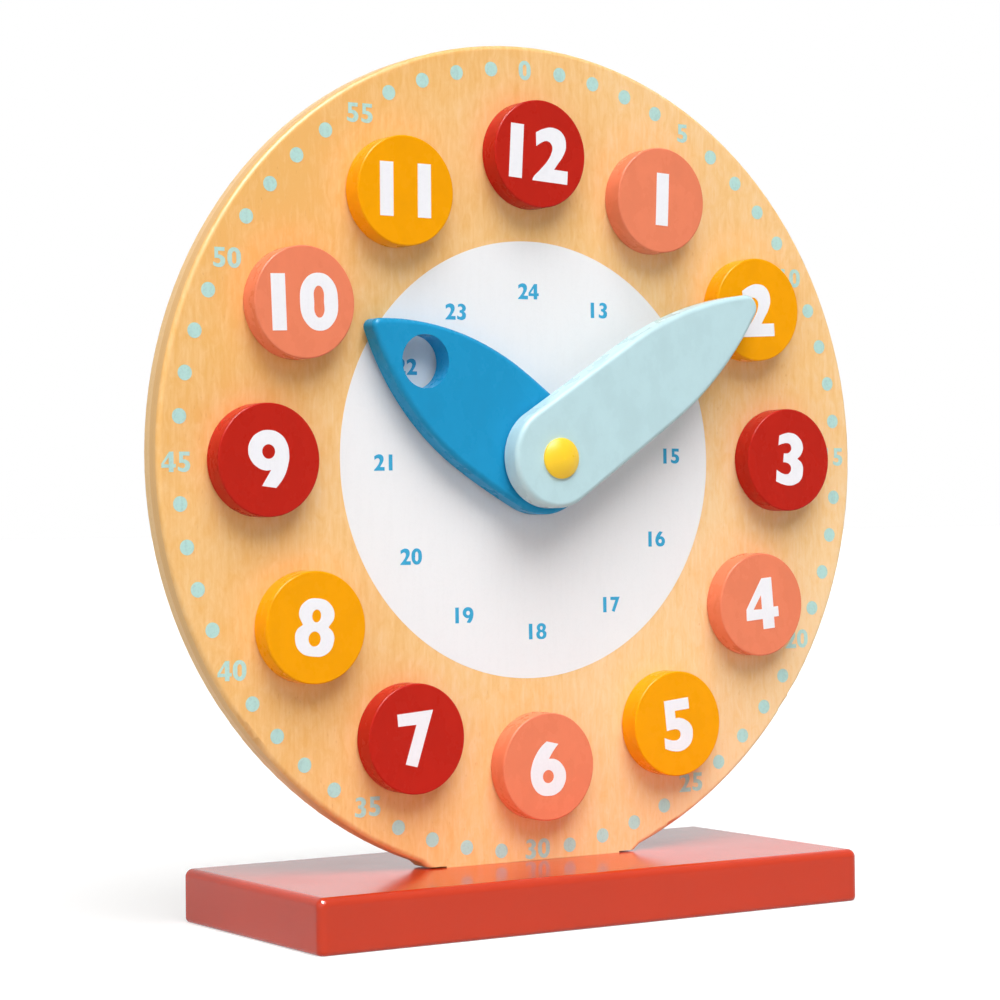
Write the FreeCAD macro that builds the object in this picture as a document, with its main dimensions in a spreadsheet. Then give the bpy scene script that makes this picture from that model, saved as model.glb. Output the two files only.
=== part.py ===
import FreeCAD, Part
import math
import os

import Sketcher

# Geared teaching clock: an upright plywood dial on a flat wooden base, with
# twelve lift-off hour blocks and two wooden hands that a gear train behind the
# dial couples at twelve to one. +Z is up, the dial faces -Y, and the origin is
# the centre of the base's underside. All lengths are in millimetres.

doc = FreeCAD.newDocument("teaching_clock")

# Driving dimensions, each written once
DIMENSIONS = [
    # base block
    ("base_length", 202.4),
    ("base_depth", 90.4),
    ("base_height", 17.0),
    ("base_rounding", 2.6),
    ("base_foot_rounding", 1.4),
    ("mortise_floor", 5.5),
    ("joint_clearance", 0.1),
    # dial plate
    ("rim_radius", 132.8),
    ("rim_rise", 0.8),
    ("dial_thickness", 10.0),
    ("rim_rounding", 1.6),
    ("lower_rim_start", 55.0),
    ("lower_rim_growth", 9.1),
    ("foot_half_width", 39.8),
    ("foot_flare", 2.1),
    ("foot_height", 1.7),
    ("shoulder_gap", 0.5),
    ("shoulder_width", 6.6),
    # hour blocks and their dowel pegs
    ("hour_count", 12),
    ("block_inset", 33.8),
    ("block_radius", 17.3),
    ("block_thickness", 7.8),
    ("block_rounding", 0.5),
    ("block_seat_gap", 0.1),
    ("peg_radius", 3.0),
    ("dial_floor", 3.0),
    ("block_floor", 2.6),
    ("peg_end_gap", 0.2),
    ("peg_chamfer", 0.6),
    # hands
    ("hand_thickness", 7.8),
    ("hand_rounding", 1.7),
    ("hand_back_rounding", 0.8),
    ("hour_tip_clearance", 6.2),
    ("hour_hub_radius", 17.8),
    ("hour_swell", 1.3),
    ("hour_tip_flat", 0.7),
    ("window_from_tip", 21.5),
    ("window_radius", 8.5),
    ("minute_tip_inset", 4.0),
    ("minute_hub_radius", 16.3),
    ("minute_taper", 0.7),
    ("minute_tip_flat", 2.6),
    ("minute_hand_aside", 0.6),
    ("minute_hand_angle", 56.7),
    ("hour_before_angle", 299.5),
    # centre cap
    ("cap_radius", 6.5),
    ("cap_rim_height", 0.7),
    ("cap_crown_height", 1.9),
    ("cap_bore_depth", 1.4),
    # arbor, tube, bush and washer
    ("arbor_radius", 2.0),
    ("tube_wall", 1.92),
    ("bush_wall", 1.42),
    ("bush_flange_width", 2.5),
    ("bush_flange_thickness", 1.4),
    ("bush_stand", 0.4),
    ("washer_radius", 7.0),
    ("washer_thickness", 0.3),
    ("running_clearance", 0.08),
    ("seated_clearance", 0.03),
    ("axial_play", 0.1),
    # gear train
    ("gear_module", 0.8),
    ("pressure_angle", 25.0),
    ("minute_pinion_teeth", 15),
    ("intermediate_wheel_teeth", 45),
    ("intermediate_pinion_teeth", 12),
    ("hour_wheel_teeth", 48),
    ("backlash", 0.12),
    ("wheel_width", 3.0),
    ("wheel_gap", 0.6),
    ("wheel_hub_radius", 4.0),
    ("stud_radius", 1.5),
    ("web_hole_count", 6),
    # gear plate, cover and screws
    ("plate_thickness", 1.6),
    ("cover_wall", 1.6),
    ("cover_gap", 1.2),
    ("flange_width", 6.0),
    ("flange_thickness", 2.0),
    ("cover_rounding", 1.4),
    ("cover_screw_radius", 1.45),
    ("cover_screw_floor", 3.8),
    ("cover_screw_head_radius", 2.8),
    ("cover_screw_head_height", 2.0),
    ("base_screw_spread", 18.0),
    ("base_screw_radius", 2.0),
    ("base_screw_length", 16.0),
    ("base_screw_head_radius", 4.0),
    ("base_screw_sink", 0.4),
    ("recess_width", 0.8),
    ("recess_depth", 1.0),
    # one overrun for every cut
    ("overrun", 1.0),
]

# How far each peg stands off its even place on the block circle, to the right and
# up, in shares of the block's radius: the pegs are set by hand
PEG_DRIFT_SHARES = [
    (-0.12, -0.01),
    (0.08, 0.07),
    (0.04, 0.00),
    (0.09, 0.04),
    (0.14, -0.09),
    (0.04, 0.02),
    (0.07, -0.09),
    (0.12, -0.12),
    (-0.01, -0.03),
    (-0.04, -0.11),
    (-0.05, -0.13),
    (-0.01, -0.06),
]

# Where each hand is widest, in shares of its reach
HOUR_WIDEST_SHARE = 0.30
MINUTE_WIDEST_SHARE = 0.44

# Gear teeth in shares of the module, web holes in shares of the wheel's radius,
# and the arms of a screw's cross recess in shares of its head's radius
ADDENDUM_SHARE = 0.9
DEDENDUM_SHARE = 1.2
WEB_PLACE_SHARE = 0.55
WEB_HOLE_SHARE = 0.16
RECESS_REACH_SHARE = 0.6

# How close two values lie that count as the same
NEARNESS = 1e-4

sheet = doc.addObject("Spreadsheet::Sheet", "Sizes")
for row, (alias, number) in enumerate(DIMENSIONS, start=1):
    sheet.set(f"A{row}", alias)
    sheet.set(f"B{row}", str(number))
    sheet.setAlias(f"B{row}", alias)
doc.recompute()


class Size:
    """A value together with its formula in the sheet's names."""

    def __init__(self, value, formula):
        self.value = float(value)
        self.formula = formula

    def joined(self, other, sign, value):
        return Size(value, f"({self.formula} {sign} {as_size(other).formula})")

    def __add__(self, other):
        return self.joined(other, "+", self.value + as_size(other).value)

    def __sub__(self, other):
        return self.joined(other, "-", self.value - as_size(other).value)

    def __mul__(self, other):
        return self.joined(other, "*", self.value * as_size(other).value)

    def __truediv__(self, other):
        return self.joined(other, "/", self.value / as_size(other).value)

    def __neg__(self):
        return Size(-self.value, f"(-1 * {self.formula})")


def as_size(thing):
    return thing if isinstance(thing, Size) else Size(thing, repr(thing))


def root_of(size):
    return Size(math.sqrt(size.value), f"sqrt({size.formula})")


def across_and_along(angle):
    """How far a unit length goes across and along, when it leans by an angle in degrees."""
    turn = math.radians(angle.value)
    return (
        Size(math.sin(turn), f"sin({angle.formula} * 1 deg)"),
        Size(math.cos(turn), f"cos({angle.formula} * 1 deg)"),
    )


class Sizes:
    """The sheet's cells as attributes."""


S = Sizes()
for alias, number in DIMENSIONS:
    setattr(S, alias, Size(sheet.get(alias), f"Sizes.{alias}"))
ZERO = Size(0, "0")

# Heights above the floor and depths along Y that several pieces share
foot_top_half_width = S.foot_half_width + S.foot_flare
lower_rim_radius = S.rim_radius + S.lower_rim_growth
lower_rim_aside, lower_rim_below = across_and_along(S.lower_rim_start)
foot_run = foot_top_half_width + S.lower_rim_growth * lower_rim_aside
lower_centre_to_foot = root_of(lower_rim_radius * lower_rim_radius - foot_run * foot_run)
axis_to_foot = lower_centre_to_foot - S.lower_rim_growth * lower_rim_below - S.rim_rise
dial_centre_height = S.base_height + S.shoulder_gap + S.foot_height + axis_to_foot
dial_front = -S.dial_thickness / 2
dial_back = S.dial_thickness / 2
hour_hand_back = dial_front - S.bush_flange_thickness - S.axial_play
hour_hand_front = hour_hand_back - S.hand_thickness
washer_back = hour_hand_front - S.axial_play
minute_hand_back = washer_back - S.washer_thickness - S.axial_play
minute_hand_front = minute_hand_back - S.hand_thickness

# Pegs, hands and the parts on their axis
peg_hole_depth = S.dial_thickness - S.dial_floor
peg_in_dial = peg_hole_depth - S.peg_end_gap - S.block_seat_gap
block_hole_depth = S.block_thickness - S.block_floor
peg_in_block = block_hole_depth - S.peg_end_gap
block_circle_radius = S.rim_radius - S.block_inset
hour_hand_reach = block_circle_radius - S.block_radius - S.hour_tip_clearance
minute_hand_reach = block_circle_radius - S.minute_tip_inset
window_centre_radius = hour_hand_reach - S.window_from_tip
tube_bore = S.arbor_radius + S.running_clearance
tube_radius = tube_bore + S.tube_wall
bush_bore = tube_radius + S.running_clearance
bush_radius = bush_bore + S.bush_wall
tenon_half_width = S.foot_half_width - S.shoulder_width
mortise_depth = S.base_height - S.mortise_floor
cover_screw_hole_depth = S.dial_thickness - S.cover_screw_floor
cover_screw_grip = cover_screw_hole_depth - S.peg_end_gap

# Depths behind the dial
plate_back = dial_back + S.plate_thickness
bush_end = plate_back + S.bush_stand
hour_wheel_start = bush_end + S.axial_play
hour_wheel_end = hour_wheel_start + S.wheel_width
pinion_start = hour_wheel_end + S.axial_play
intermediate_wheel_start = hour_wheel_end + S.wheel_gap
intermediate_wheel_end = intermediate_wheel_start + S.wheel_width
pinion_end = intermediate_wheel_end + S.wheel_gap
cover_inside = pinion_end + S.axial_play
cover_outside = cover_inside + S.cover_wall

# Gear train
centre_distance = S.gear_module * (S.minute_pinion_teeth + S.intermediate_wheel_teeth) / 2
hour_wheel_tip = S.gear_module * (S.hour_wheel_teeth / 2 + ADDENDUM_SHARE)
case_radius = hour_wheel_tip + S.cover_gap
wall_radius = case_radius + S.cover_wall
flange_radius = wall_radius + S.flange_width
screw_reach = wall_radius + S.flange_width / 2
hour_hand_angle = S.hour_before_angle + S.minute_hand_angle / S.hour_count
quarter_turn = 90.0
half_turn = 180.0
full_turn = 360.0


def place(item, x=ZERO, y=ZERO, z=ZERO, turn=None):
    """Put a piece at a point, turned clockwise as seen from the front."""
    if turn is not None:
        item.Placement = FreeCAD.Placement(
            FreeCAD.Vector(), FreeCAD.Rotation(FreeCAD.Vector(0, 1, 0), turn.value)
        )
    for axis, size in (("x", x), ("y", y), ("z", z)):
        item.setExpression(f"Placement.Base.{axis}", size.formula)
    return item


def new_body(label):
    body = doc.addObject("PartDesign::Body", label)
    body.Label = label
    return body


def origin_item(body, role):
    return next(item for item in body.Origin.OriginFeatures if item.Role == role)


def new_sketch(body, name, role, offset=None):
    """A sketch on an origin plane; XZ_Plane looks to the front, so its offset runs to -Y."""
    sketch = body.newObject("Sketcher::SketchObject", name)
    sketch.AttachmentSupport = (origin_item(body, role), [""])
    sketch.MapMode = "FlatFace"
    if offset is not None:
        sketch.setExpression("AttachmentOffset.Base.z", offset.formula)
    return sketch


def bind(sketch, constraint, size):
    index = sketch.addConstraint(constraint)
    sketch.setExpression(f"Constraints[{index}]", size.formula)


def fix_point(sketch, geometry, point, x, y):
    """Hold a point at (x, y): on an axis where a value is zero, else by a distance."""
    for kind, size, axis in (("DistanceX", x, -2), ("DistanceY", y, -1)):
        if size.value == 0:
            sketch.addConstraint(Sketcher.Constraint("PointOnObject", geometry, point, axis))
        else:
            bind(sketch, Sketcher.Constraint(kind, geometry, point, size.value), size)


def draw_circle(sketch, radius, x=ZERO, y=ZERO):
    centre = FreeCAD.Vector(x.value, y.value, 0)
    circle = Part.Circle(centre, FreeCAD.Vector(0, 0, 1), radius.value)
    geometry = sketch.addGeometry(circle, False)
    bind(sketch, Sketcher.Constraint("Radius", geometry, radius.value), radius)
    fix_point(sketch, geometry, 3, x, y)


def draw_polygon(sketch, corners):
    """Straight sides through the corners, each corner held by its two sizes."""
    points = [FreeCAD.Vector(x.value, y.value, 0) for x, y in corners]
    count = len(points)
    for index in range(count):
        sketch.addGeometry(Part.LineSegment(points[index], points[(index + 1) % count]), False)
    for index, (x, y) in enumerate(corners):
        sketch.addConstraint(Sketcher.Constraint("Coincident", index, 2, (index + 1) % count, 1))
        fix_point(sketch, index, 1, x, y)


def draw_rectangle(sketch, left, right, bottom, top):
    draw_polygon(sketch, [(left, bottom), (right, bottom), (right, top), (left, top)])


def draw_slot(sketch, radius, drop):
    """A round-ended slot from the origin down to the given drop."""
    wide = radius.value
    low = -drop.value
    corners = [(-wide, low), (wide, low), (wide, 0.0), (-wide, 0.0)]
    bottom_left, bottom_right, top_right, top_left = [
        FreeCAD.Vector(x, y, 0) for x, y in corners
    ]
    top = FreeCAD.Vector(0, wide, 0)
    bottom = FreeCAD.Vector(0, low - wide, 0)
    sketch.addGeometry(Part.LineSegment(bottom_right, top_right), False)
    sketch.addGeometry(Part.Arc(top_right, top, top_left), False)
    sketch.addGeometry(Part.LineSegment(top_left, bottom_left), False)
    sketch.addGeometry(Part.Arc(bottom_left, bottom, bottom_right), False)
    for index in range(4):
        sketch.addConstraint(Sketcher.Constraint("Coincident", index, 2, (index + 1) % 4, 1))
    fix_point(sketch, 1, 3, ZERO, ZERO)
    fix_point(sketch, 3, 3, ZERO, -drop)
    bind(sketch, Sketcher.Constraint("Radius", 1, wide), radius)
    for geometry, point in ((0, 2), (2, 1)):
        sketch.addConstraint(Sketcher.Constraint("PointOnObject", geometry, point, -1))
    sketch.addConstraint(Sketcher.Constraint("Vertical", 0))
    for geometry, point in ((0, 1), (2, 2)):
        bind(sketch, Sketcher.Constraint("DistanceY", geometry, point, low), -drop)


def pad(body, sketch, length, name="Pad"):
    feature = body.newObject("PartDesign::Pad", name)
    feature.Profile = sketch
    feature.setExpression("Length", length.formula)
    body.Tip = feature
    return feature


def pocket(body, sketch, depth, name="Pocket", reverse=False):
    feature = body.newObject("PartDesign::Pocket", name)
    feature.Profile = sketch
    feature.Reversed = reverse
    feature.setExpression("Length", depth.formula)
    body.Tip = feature
    return feature


def polar_pattern(body, original, count, name="Pattern"):
    """Repeat a feature round the body's Y axis."""
    pattern = body.newObject("PartDesign::PolarPattern", name)
    pattern.Originals = [original]
    pattern.Axis = (origin_item(body, "Y_Axis"), [""])
    pattern.Angle = full_turn
    pattern.setExpression("Occurrences", count.formula)
    body.Tip = pattern
    return pattern


def fillet(body, radius, chosen, name="Fillet"):
    """Round the edges of the body's tip that the test picks."""
    doc.recompute()
    base = body.Tip
    edges = [f"Edge{i}" for i, edge in enumerate(base.Shape.Edges, start=1) if chosen(edge)]
    feature = body.newObject("PartDesign::Fillet", name)
    feature.Base = (base, edges)
    feature.setExpression("Radius", radius.formula)
    body.Tip = feature
    return feature


def chamfer(body, size, chosen, name="Chamfer"):
    """Bevel the edges of the body's tip that the test picks."""
    doc.recompute()
    base = body.Tip
    edges = [f"Edge{i}" for i, edge in enumerate(base.Shape.Edges, start=1) if chosen(edge)]
    feature = body.newObject("PartDesign::Chamfer", name)
    feature.Base = (base, edges)
    feature.setExpression("Size", size.formula)
    body.Tip = feature
    return feature


def near(one, other):
    return abs(one - other) < NEARNESS


def lies_at_y(edge, y):
    return near(edge.BoundBox.YMin, y) and near(edge.BoundBox.YMax, y)


def is_circle_of(edge, radius):
    return isinstance(edge.Curve, Part.Circle) and near(edge.Curve.Radius, radius)


def turned(label, profile):
    """A piece turned about its own Y axis from corners given as radius and depth."""
    body = new_body(label)
    sketch = new_sketch(body, "Profile", "XY_Plane")
    draw_polygon(sketch, profile)
    revolution = body.newObject("PartDesign::Revolution", "Turning")
    revolution.Profile = sketch
    revolution.ReferenceAxis = (sketch, ["V_Axis"])
    revolution.Angle = full_turn
    body.Tip = revolution
    return body


def turned_ring(label, inner, outer, start, end):
    return turned(label, [(inner, start), (outer, start), (outer, end), (inner, end)])


def compound(label, pieces):
    """Like pieces kept together in one node as separate solids."""
    group = doc.addObject("Part::Compound", label)
    group.Label = label
    group.Links = pieces
    return group


def peg_place(hour):
    """How far right of and above the dial's centre an hour's peg stands."""
    angle = as_size(hour) * full_turn / S.hour_count
    across, upward = across_and_along(angle)
    drift_right, drift_up = PEG_DRIFT_SHARES[(hour - 1) % len(PEG_DRIFT_SHARES)]
    return (
        block_circle_radius * across + S.block_radius * drift_right,
        block_circle_radius * upward + S.block_radius * drift_up,
    )


# Base block
def make_base_block():
    body = new_body("base_block")
    outline = new_sketch(body, "Outline", "XY_Plane")
    half_length = S.base_length / 2
    half_depth = S.base_depth / 2
    draw_rectangle(outline, -half_length, half_length, -half_depth, half_depth)
    pad(body, outline, S.base_height)

    def outer_edge(edge):
        box = edge.BoundBox
        upright = near(abs(box.XMin), half_length.value) and near(box.XLength, 0) and box.ZLength > 0
        return upright or near(box.ZMin, S.base_height.value)

    fillet(body, S.base_rounding, outer_edge)
    fillet(body, S.base_foot_rounding, lambda edge: near(edge.BoundBox.ZMax, 0), "FootEdge")
    mortise = new_sketch(body, "Mortise", "XY_Plane", S.base_height)
    half_slot = tenon_half_width + S.joint_clearance
    half_gap = S.dial_thickness / 2 + S.joint_clearance
    draw_rectangle(mortise, -half_slot, half_slot, -half_gap, half_gap)
    pocket(body, mortise, mortise_depth, "MortiseCut")
    cone_height = S.base_screw_head_radius - S.base_screw_radius
    hole_radius = S.base_screw_radius + S.joint_clearance
    sink_radius = S.base_screw_head_radius + S.joint_clearance
    for side, spread in (("Left", -S.base_screw_spread), ("Right", S.base_screw_spread)):
        hole = new_sketch(body, f"ScrewHole{side}", "XY_Plane", -S.overrun)
        draw_circle(hole, hole_radius, spread)
        pocket(body, hole, S.base_height, f"ScrewHoleCut{side}", reverse=True)
        sink = new_sketch(body, f"Countersink{side}", "XZ_Plane")
        draw_polygon(
            sink,
            [
                (spread, -S.overrun),
                (spread + sink_radius, -S.overrun),
                (spread + sink_radius, S.base_screw_sink),
                (spread + hole_radius, S.base_screw_sink + cone_height),
                (spread, S.base_screw_sink + cone_height),
            ],
        )
        groove = body.newObject("PartDesign::Groove", f"CountersinkCut{side}")
        groove.Profile = sink
        groove.ReferenceAxis = (sink, ["Edge5"])
        groove.Angle = full_turn
        body.Tip = groove
    return body


# Dial plate
def make_dial_plate():
    """The rim's centre stands a little above the hands' axis, where the sketch starts.

    Towards the foot the rim runs on without a kink in two flatter arcs.
    """
    body = new_body("dial_plate")
    outline = new_sketch(body, "Outline", "XZ_Plane")
    shoulder = -(axis_to_foot + S.foot_height)
    tenon_end = shoulder - S.shoulder_gap - mortise_depth
    join_aside = S.rim_radius * lower_rim_aside
    join_height = S.rim_rise - S.rim_radius * lower_rim_below
    corners = [
        (-join_aside, join_height),
        (-foot_top_half_width, -axis_to_foot),
        (-S.foot_half_width, shoulder),
        (-tenon_half_width, shoulder),
        (-tenon_half_width, tenon_end),
        (tenon_half_width, tenon_end),
        (tenon_half_width, shoulder),
        (S.foot_half_width, shoulder),
        (foot_top_half_width, -axis_to_foot),
        (join_aside, join_height),
    ]
    points = [FreeCAD.Vector(x.value, y.value, 0) for x, y in corners]
    lower_aside = S.lower_rim_growth * lower_rim_aside
    lower_rise = (S.rim_rise + S.lower_rim_growth * lower_rim_below).value
    left_centre = FreeCAD.Vector(lower_aside.value, lower_rise, 0)
    right_centre = FreeCAD.Vector(-lower_aside.value, lower_rise, 0)
    reach = lower_rim_radius.value
    left_middle = on_arc(left_centre, reach, points[0], points[1])
    right_middle = on_arc(right_centre, reach, points[-2], points[-1])
    outline.addGeometry(Part.Arc(points[0], left_middle, points[1]), False)
    for start, end in zip(points[1:-1], points[2:-1]):
        outline.addGeometry(Part.LineSegment(start, end), False)
    lower_right = outline.addGeometry(Part.Arc(points[-2], right_middle, points[-1]), False)
    top = FreeCAD.Vector(0, S.rim_rise.value + S.rim_radius.value, 0)
    rim = outline.addGeometry(Part.Arc(points[-1], top, points[0]), False)
    for index in range(rim):
        outline.addConstraint(Sketcher.Constraint("Coincident", index, 2, index + 1, 1))
    outline.addConstraint(Sketcher.Constraint("Coincident", rim, 2, 0, 1))
    for index, (x, y) in enumerate(corners):
        fix_point(outline, index, 1, x, y)
    for arc, aside in ((0, lower_aside), (lower_right, -lower_aside)):
        bind(outline, Sketcher.Constraint("DistanceX", arc, 3, aside.value), aside)
    bind(outline, Sketcher.Constraint("DistanceY", rim, 3, S.rim_rise.value), S.rim_rise)
    pad(body, outline, S.dial_thickness)
    front = -S.dial_thickness.value

    def rim_edge(edge):
        face_edge = lies_at_y(edge, front) or lies_at_y(edge, 0)
        return face_edge and edge.BoundBox.ZMax > shoulder.value + NEARNESS

    fillet(body, S.rim_rounding, rim_edge)
    centre_hole = new_sketch(body, "BushHole", "XZ_Plane")
    draw_circle(centre_hole, bush_radius + S.seated_clearance)
    pocket(body, centre_hole, S.dial_thickness, "BushHoleCut", reverse=True)
    peg_hole = new_sketch(body, "PegHole", "XZ_Plane", S.dial_thickness)
    for hour in range(1, int(S.hour_count.value) + 1):
        draw_circle(peg_hole, S.peg_radius + S.joint_clearance, *peg_place(hour))
    pocket(body, peg_hole, peg_hole_depth, "PegHoleCut")
    pilot = new_sketch(body, "CoverPilots", "XZ_Plane")
    for side in (-screw_reach, screw_reach):
        for height in (ZERO, -centre_distance):
            draw_circle(pilot, S.cover_screw_radius + S.seated_clearance, side, height)
    pocket(body, pilot, cover_screw_hole_depth, "CoverPilotCut", reverse=True)
    tenon_pilot = new_sketch(body, "TenonPilots", "XY_Plane", tenon_end - S.overrun)
    for side in (-S.base_screw_spread, S.base_screw_spread):
        draw_circle(tenon_pilot, S.base_screw_radius + S.seated_clearance, side, -S.dial_thickness / 2)
    wood_below = S.base_height - mortise_depth - S.base_screw_sink
    grip = S.base_screw_length - wood_below + S.peg_end_gap
    pocket(body, tenon_pilot, S.overrun + grip, "TenonPilotCut", reverse=True)
    return place(body, y=dial_back, z=dial_centre_height)


# Hour blocks and the dowel pegs that hold them
def make_blocks_and_pegs():
    made = []
    bore = S.peg_radius + S.running_clearance
    for hour in range(1, int(S.hour_count.value) + 1):
        x, up = peg_place(hour)
        z = dial_centre_height + up
        block = turned(
            f"hour_block_{hour:02d}",
            [
                (ZERO, -S.block_thickness),
                (S.block_radius, -S.block_thickness),
                (S.block_radius, ZERO),
                (bore, ZERO),
                (bore, -block_hole_depth),
                (ZERO, -block_hole_depth),
            ],
        )
        fillet(block, S.block_rounding, lambda edge: is_circle_of(edge, S.block_radius.value))
        place(block, x, dial_front - S.block_seat_gap, z)
        peg = turned(
            f"block_peg_{hour:02d}",
            [
                (ZERO, -peg_in_block),
                (S.peg_radius, -peg_in_block),
                (S.peg_radius, peg_in_dial),
                (ZERO, peg_in_dial),
            ],
        )
        chamfer(peg, S.peg_chamfer, lambda edge: is_circle_of(edge, S.peg_radius.value))
        place(peg, x, dial_front - S.block_seat_gap, z)
        made += [block, peg]
    return made


# Hands
def on_arc(centre, radius, first, second):
    """The point half way along the arc between two of its points."""
    middle = ((first - centre) + (second - centre)).normalize()
    return centre + radius * middle


def hand_outline(hub, widest, widest_place, tip, reach):
    """The hand's outline, pointing up: a hub, two sides, two shoulder arcs and a tip.

    The shoulder arc is level at the widest place and tangent to the tip's arc.
    Behind it, a hand wider than its hub swells on an arc tangent to the hub, and
    a narrower one tapers on a straight line tangent to the hub.
    """
    hub_centre = FreeCAD.Vector()
    tip_centre = FreeCAD.Vector(0, reach - tip, 0)
    run = reach - tip - widest_place
    shoulder = (run**2 + widest**2 - tip**2) / (2 * (widest - tip))
    shoulder_centre = FreeCAD.Vector(widest - shoulder, widest_place, 0)
    tip_point = shoulder_centre + shoulder * (tip_centre - shoulder_centre).normalize()
    if widest > hub:
        swell = (widest_place**2 + widest**2 - hub**2) / (2 * (widest - hub))
        swell_centre = FreeCAD.Vector(widest - swell, widest_place, 0)
        hub_point = swell_centre + swell * (hub_centre - swell_centre).normalize()
        side_end = FreeCAD.Vector(widest, widest_place, 0)
        side_middle = on_arc(swell_centre, swell, hub_point, side_end)
    else:
        apart = shoulder_centre.Length
        lean = math.atan2(shoulder_centre.y, shoulder_centre.x)
        facing = lean - math.acos((hub - shoulder) / apart)
        outward = FreeCAD.Vector(math.cos(facing), math.sin(facing), 0)
        hub_point = hub * outward
        side_end = shoulder_centre + shoulder * outward
        side_middle = None
    shoulder_middle = on_arc(shoulder_centre, shoulder, side_end, tip_point)

    def side(start, middle, end):
        return Part.LineSegment(start, end) if middle is None else Part.Arc(start, middle, end)

    def mirrored(vector):
        return vector and FreeCAD.Vector(-vector.x, vector.y, 0)

    return [
        side(hub_point, side_middle, side_end),
        Part.Arc(side_end, shoulder_middle, tip_point),
        Part.Arc(tip_point, FreeCAD.Vector(0, reach, 0), mirrored(tip_point)),
        Part.Arc(mirrored(tip_point), mirrored(shoulder_middle), mirrored(side_end)),
        side(mirrored(side_end), mirrored(side_middle), mirrored(hub_point)),
        Part.Arc(mirrored(hub_point), FreeCAD.Vector(0, -hub, 0), hub_point),
    ]


def make_hand(label, arcs, bore, window=None, aside=ZERO):
    """A hand from its outline, which may stand a little to the left of the bore."""
    body = new_body(label)
    outline = new_sketch(body, "Outline", "XZ_Plane")
    for arc in arcs:
        arc.translate(FreeCAD.Vector(-aside.value, 0, 0))
        outline.addGeometry(arc, False)
    for index in range(len(arcs)):
        outline.addConstraint(Sketcher.Constraint("Block", index))
    pad(body, outline, S.hand_thickness)
    front = -S.hand_thickness.value
    fillet(body, S.hand_rounding, lambda edge: lies_at_y(edge, front), "FrontEdge")
    fillet(body, S.hand_back_rounding, lambda edge: lies_at_y(edge, 0), "BackEdge")
    holes = new_sketch(body, "Holes", "XZ_Plane")
    draw_circle(holes, bore)
    if window is not None:
        draw_circle(holes, window, ZERO, window_centre_radius)
    pocket(body, holes, S.hand_thickness, "HolesCut", reverse=True)
    return body


def make_hour_hand():
    arcs = hand_outline(
        S.hour_hub_radius.value,
        S.hour_hub_radius.value + S.hour_swell.value,
        hour_hand_reach.value * HOUR_WIDEST_SHARE,
        S.hand_rounding.value + S.hour_tip_flat.value,
        hour_hand_reach.value,
    )
    body = make_hand("hour_hand", arcs, tube_radius + S.seated_clearance, S.window_radius)
    return place(body, y=hour_hand_back, z=dial_centre_height, turn=hour_hand_angle)


def make_minute_hand():
    arcs = hand_outline(
        S.minute_hub_radius.value,
        S.minute_hub_radius.value - S.minute_taper.value,
        minute_hand_reach.value * MINUTE_WIDEST_SHARE,
        S.hand_rounding.value + S.minute_tip_flat.value,
        minute_hand_reach.value,
    )
    bore = S.arbor_radius + S.seated_clearance
    body = make_hand("minute_hand", arcs, bore, aside=S.minute_hand_aside)
    return place(body, y=minute_hand_back, z=dial_centre_height, turn=S.minute_hand_angle)


def make_centre_cap():
    """A low domed button over the arbor's end."""
    body = new_body("centre_cap")
    sketch = new_sketch(body, "Profile", "XY_Plane")
    bore = S.arbor_radius + S.seated_clearance
    rim = S.cap_radius.value
    side = S.cap_rim_height.value
    crown = side + S.cap_crown_height.value
    depth = S.cap_bore_depth.value
    dome_radius = (rim**2 + (crown - side) ** 2) / (2 * (crown - side))
    dome_centre = dome_radius - crown
    half = math.asin(rim / dome_radius) / 2
    middle = FreeCAD.Vector(
        dome_radius * math.sin(half), dome_centre - dome_radius * math.cos(half), 0
    )
    corners = [
        (0.0, -crown),
        (0.0, -depth),
        (bore.value, -depth),
        (bore.value, 0.0),
        (rim, 0.0),
        (rim, -side),
    ]
    points = [FreeCAD.Vector(x, y, 0) for x, y in corners]
    for start, end in zip(points, points[1:]):
        sketch.addGeometry(Part.LineSegment(start, end), False)
    sketch.addGeometry(Part.Arc(points[-1], middle, points[0]), False)
    for index in range(len(corners)):
        sketch.addConstraint(Sketcher.Constraint("Block", index))
    turning = body.newObject("PartDesign::Revolution", "Turning")
    turning.Profile = sketch
    turning.ReferenceAxis = (sketch, ["V_Axis"])
    turning.Angle = full_turn
    body.Tip = turning
    return place(body, y=minute_hand_front, z=dial_centre_height)


# Arbor, tube, bush and washer on the hands' axis
def make_hand_axis():
    cap_end = minute_hand_front - S.cap_bore_depth + S.axial_play
    arbor = turned(
        "minute_arbor",
        [
            (ZERO, cap_end),
            (S.arbor_radius, cap_end),
            (S.arbor_radius, cover_outside),
            (ZERO, cover_outside),
        ],
    )
    tube = turned_ring("hour_tube", tube_bore, tube_radius, hour_hand_front, hour_wheel_end)
    rim = bush_radius + S.bush_flange_width
    flange_front = dial_front - S.bush_flange_thickness
    bush = turned(
        "dial_bush",
        [
            (bush_bore, flange_front),
            (rim, flange_front),
            (rim, dial_front),
            (bush_radius, dial_front),
            (bush_radius, bush_end),
            (bush_bore, bush_end),
        ],
    )
    washer = turned_ring(
        "hand_washer",
        S.arbor_radius + S.running_clearance,
        S.washer_radius,
        washer_back - S.washer_thickness,
        washer_back,
    )
    for piece in (arbor, tube, bush, washer):
        place(piece, z=dial_centre_height)
    return [arbor, tube, bush, washer]


# Gear train
def involute(angle):
    return math.tan(angle) - angle


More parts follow.
